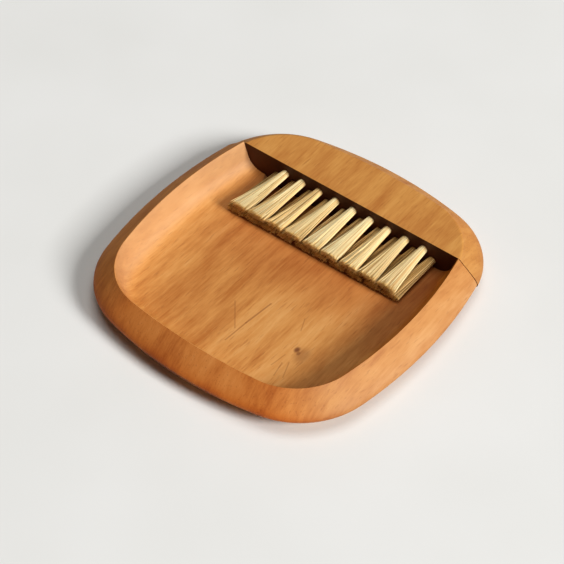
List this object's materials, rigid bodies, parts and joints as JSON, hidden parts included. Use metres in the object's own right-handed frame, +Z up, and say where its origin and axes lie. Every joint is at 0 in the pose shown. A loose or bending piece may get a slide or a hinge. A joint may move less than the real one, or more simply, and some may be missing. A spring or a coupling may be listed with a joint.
{
  "type": "crumb tray and brush",
  "caption": "Shallow wooden crumb tray with a soft square outline; the wooden handle of a nested hand brush closes its open side, and the bristle tufts lie in its hollow.",
  "frame": {"origin": "on the table, under the middle of the closed outline of the tray and the handle", "axes": "+Z up; +Y from the tray towards the brush handle; +X along the straight joint between them, to the right when the handle is at the back"},
  "size_m": [0.15, 0.1526, 0.018],
  "materials": {
    "tray_wood": "oiled hardwood",
    "handle_wood": "oiled hardwood",
    "bristle": "natural bristle, trimmed",
    "anchor_steel": "flat wire"
  },
  "bodies": {
    "tray": {"tray": "tray_wood"},
    "brush": {"brush_handle": "handle_wood", "tuft_upper_1": "bristle", "tuft_upper_2": "bristle", "tuft_upper_3": "bristle", "tuft_upper_4": "bristle", "tuft_upper_5": "bristle", "tuft_upper_6": "bristle", "tuft_upper_7": "bristle", "tuft_upper_8": "bristle", "tuft_upper_9": "bristle", "tuft_lower_1": "bristle", "tuft_lower_2": "bristle", "tuft_lower_3": "bristle", "tuft_lower_4": "bristle", "tuft_lower_5": "bristle", "tuft_lower_6": "bristle", "tuft_lower_7": "bristle", "tuft_lower_8": "bristle", "tuft_lower_9": "bristle", "tuft_lower_10": "bristle", "anchor_upper_1": "anchor_steel", "anchor_upper_2": "anchor_steel", "anchor_upper_3": "anchor_steel", "anchor_upper_4": "anchor_steel", "anchor_upper_5": "anchor_steel", "anchor_upper_6": "anchor_steel", "anchor_upper_7": "anchor_steel", "anchor_upper_8": "anchor_steel", "anchor_upper_9": "anchor_steel", "anchor_lower_1": "anchor_steel", "anchor_lower_2": "anchor_steel", "anchor_lower_3": "anchor_steel", "anchor_lower_4": "anchor_steel", "anchor_lower_5": "anchor_steel", "anchor_lower_6": "anchor_steel", "anchor_lower_7": "anchor_steel", "anchor_lower_8": "anchor_steel", "anchor_lower_9": "anchor_steel", "anchor_lower_10": "anchor_steel"}
  },
  "joints": [
    {"name": "brush_lift", "type": "slide", "parent": "tray", "child": "brush", "axis": [0, 0, 1], "range_m": [0, 0.045]}
  ]
}
